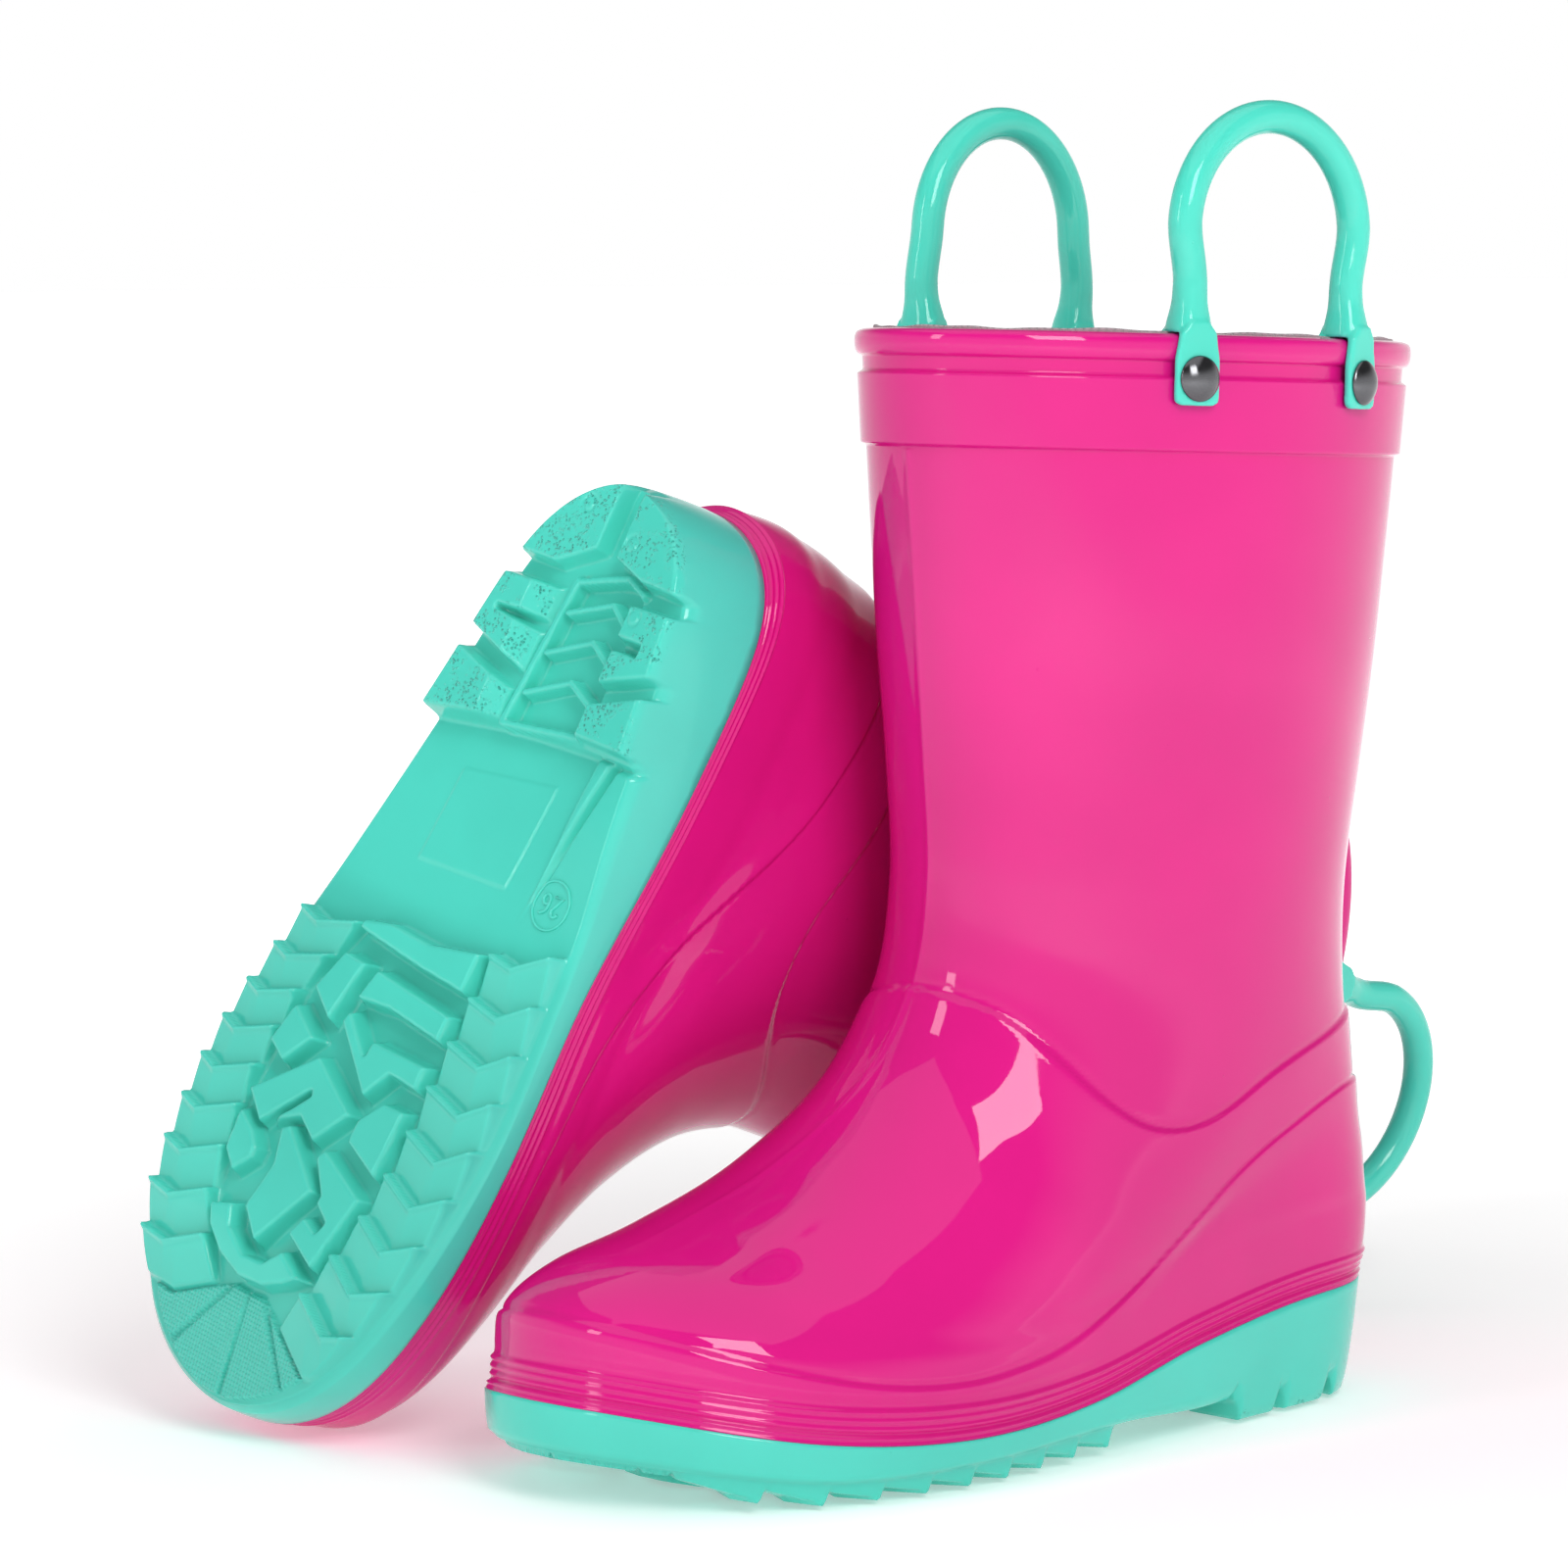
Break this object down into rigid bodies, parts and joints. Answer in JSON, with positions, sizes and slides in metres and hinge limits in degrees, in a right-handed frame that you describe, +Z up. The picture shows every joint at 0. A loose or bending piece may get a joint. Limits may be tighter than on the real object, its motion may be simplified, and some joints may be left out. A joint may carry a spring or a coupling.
{
  "type": "pair of rain boots",
  "caption": "Pair of child's pull-on rain boots with riveted pull handles, one standing and one leaning beside it with its lugged sole showing.",
  "frame": {"origin": "on the ground, under the middle of the pair's box", "axes": "+X towards the standing left boot's toe, +Y to its outer side, +Z up"},
  "size_m": [0.2663, 0.1635, 0.2358],
  "materials": {
    "pink_pvc": "high-gloss moulded PVC",
    "turquoise_sole": "satin-gloss moulded PVC",
    "turquoise_handle": "gloss moulded PVC",
    "knit_lining": "fine knitted jersey",
    "insole_felt": "needled felt on foam",
    "rivet_metal": "dark nickel, polished"
  },
  "bodies": {
    "left_boot": {"left_upper": "pink_pvc", "left_outsole": "turquoise_sole", "left_lining": "knit_lining", "left_insole": "insole_felt", "left_outer_front_fork": "turquoise_handle", "left_outer_front_rivet_cap": "rivet_metal", "left_outer_front_rivet_post": "rivet_metal", "left_outer_rear_fork": "turquoise_handle", "left_outer_rear_rivet_cap": "rivet_metal", "left_outer_rear_rivet_post": "rivet_metal", "left_inner_front_fork": "turquoise_handle", "left_inner_front_rivet_cap": "rivet_metal", "left_inner_front_rivet_post": "rivet_metal", "left_inner_rear_fork": "turquoise_handle", "left_inner_rear_rivet_cap": "rivet_metal", "left_inner_rear_rivet_post": "rivet_metal"},
    "left_outer_handle": {"left_outer_handle": "turquoise_handle"},
    "left_inner_handle": {"left_inner_handle": "turquoise_handle"},
    "right_boot": {"right_upper": "pink_pvc", "right_outsole": "turquoise_sole", "right_lining": "knit_lining", "right_insole": "insole_felt", "right_outer_front_fork": "turquoise_handle", "right_outer_front_rivet_cap": "rivet_metal", "right_outer_front_rivet_post": "rivet_metal", "right_outer_rear_fork": "turquoise_handle", "right_outer_rear_rivet_cap": "rivet_metal", "right_outer_rear_rivet_post": "rivet_metal", "right_inner_front_fork": "turquoise_handle", "right_inner_front_rivet_cap": "rivet_metal", "right_inner_front_rivet_post": "rivet_metal", "right_inner_rear_fork": "turquoise_handle", "right_inner_rear_rivet_cap": "rivet_metal", "right_inner_rear_rivet_post": "rivet_metal"},
    "right_outer_handle": {"right_outer_handle": "turquoise_handle"},
    "right_inner_handle": {"right_inner_handle": "turquoise_handle"}
  },
  "joints": [
    {"name": "right_boot_draw_away", "type": "slide", "parent": "left_boot", "child": "right_boot", "axis": [0, -1, 0], "range_m": [0, 0.2]},
    {"name": "left_outer_handle_flex", "type": "hinge", "parent": "left_boot", "child": "left_outer_handle", "pos_m": [-0.00688, 0.07527, 0.19963], "axis": [-0.9992, 0, -0.041], "range_deg": [-55, 75], "stiffness_Nm_per_rad": 0.15},
    {"name": "left_inner_handle_flex", "type": "hinge", "parent": "left_boot", "child": "left_inner_handle", "pos_m": [-0.00688, 0.00893, 0.19963], "axis": [0.9992, 0, 0.041], "range_deg": [-55, 75], "stiffness_Nm_per_rad": 0.15},
    {"name": "right_outer_handle_flex", "type": "hinge", "parent": "right_boot", "child": "right_outer_handle", "pos_m": [-0.0964, 0.00441, 0.04555], "axis": [0.3446, -0.1957, -0.9181], "range_deg": [-55, 75], "stiffness_Nm_per_rad": 0.15},
    {"name": "right_inner_handle_flex", "type": "hinge", "parent": "right_boot", "child": "right_inner_handle", "pos_m": [-0.0977, -0.06055, 0.05891], "axis": [-0.3446, 0.1957, 0.9181], "range_deg": [-55, 75], "stiffness_Nm_per_rad": 0.15}
  ]
}
